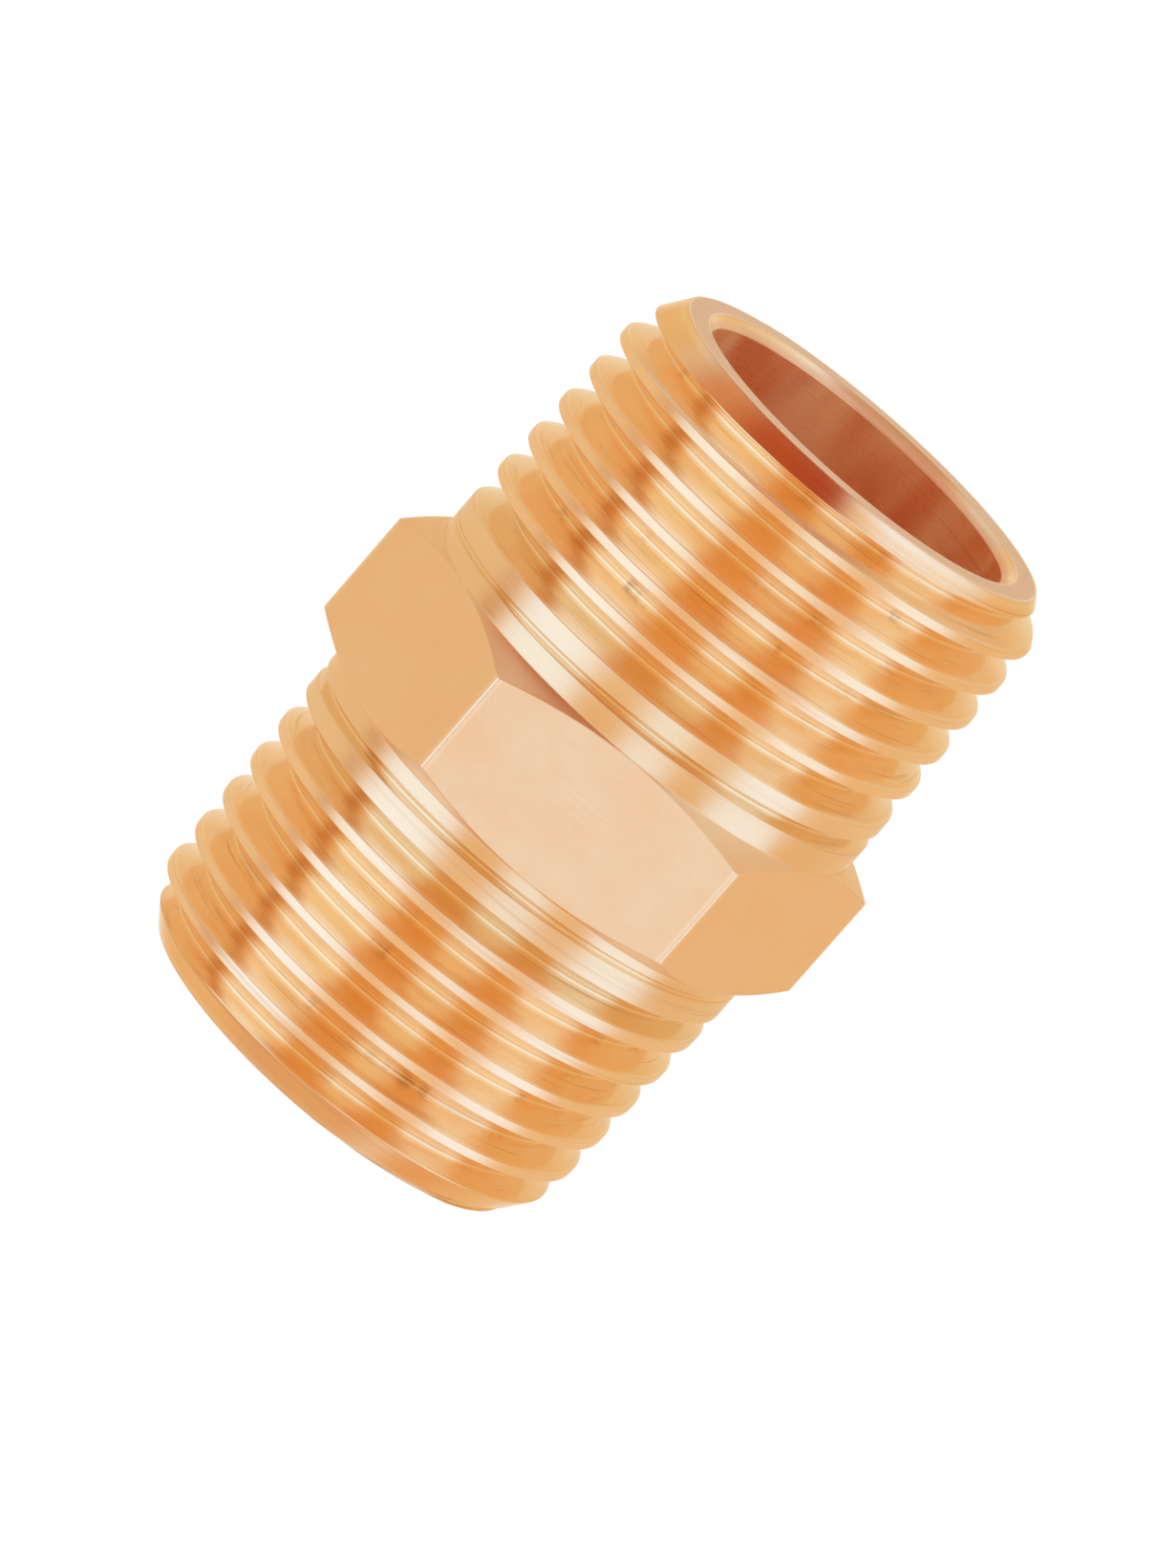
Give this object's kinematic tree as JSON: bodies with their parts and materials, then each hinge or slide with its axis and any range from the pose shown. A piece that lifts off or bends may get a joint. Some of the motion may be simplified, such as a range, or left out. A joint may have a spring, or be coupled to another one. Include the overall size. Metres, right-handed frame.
{
  "type": "hex nipple",
  "caption": "Short brass pipe nipple that joins two female ports, with a taper thread at each end and a wrench hexagon between.",
  "frame": {"origin": "centre of the lower end face, on the bore's axis", "axes": "+Z along the bore from the lower end to the upper end; one pair of wrench flats faces -Y and +Y"},
  "size_m": [0.0242, 0.021, 0.033],
  "materials": {
    "brass": "fine turned, bright"
  },
  "bodies": {
    "root": {"nipple_body": "brass"}
  },
  "joints": []
}
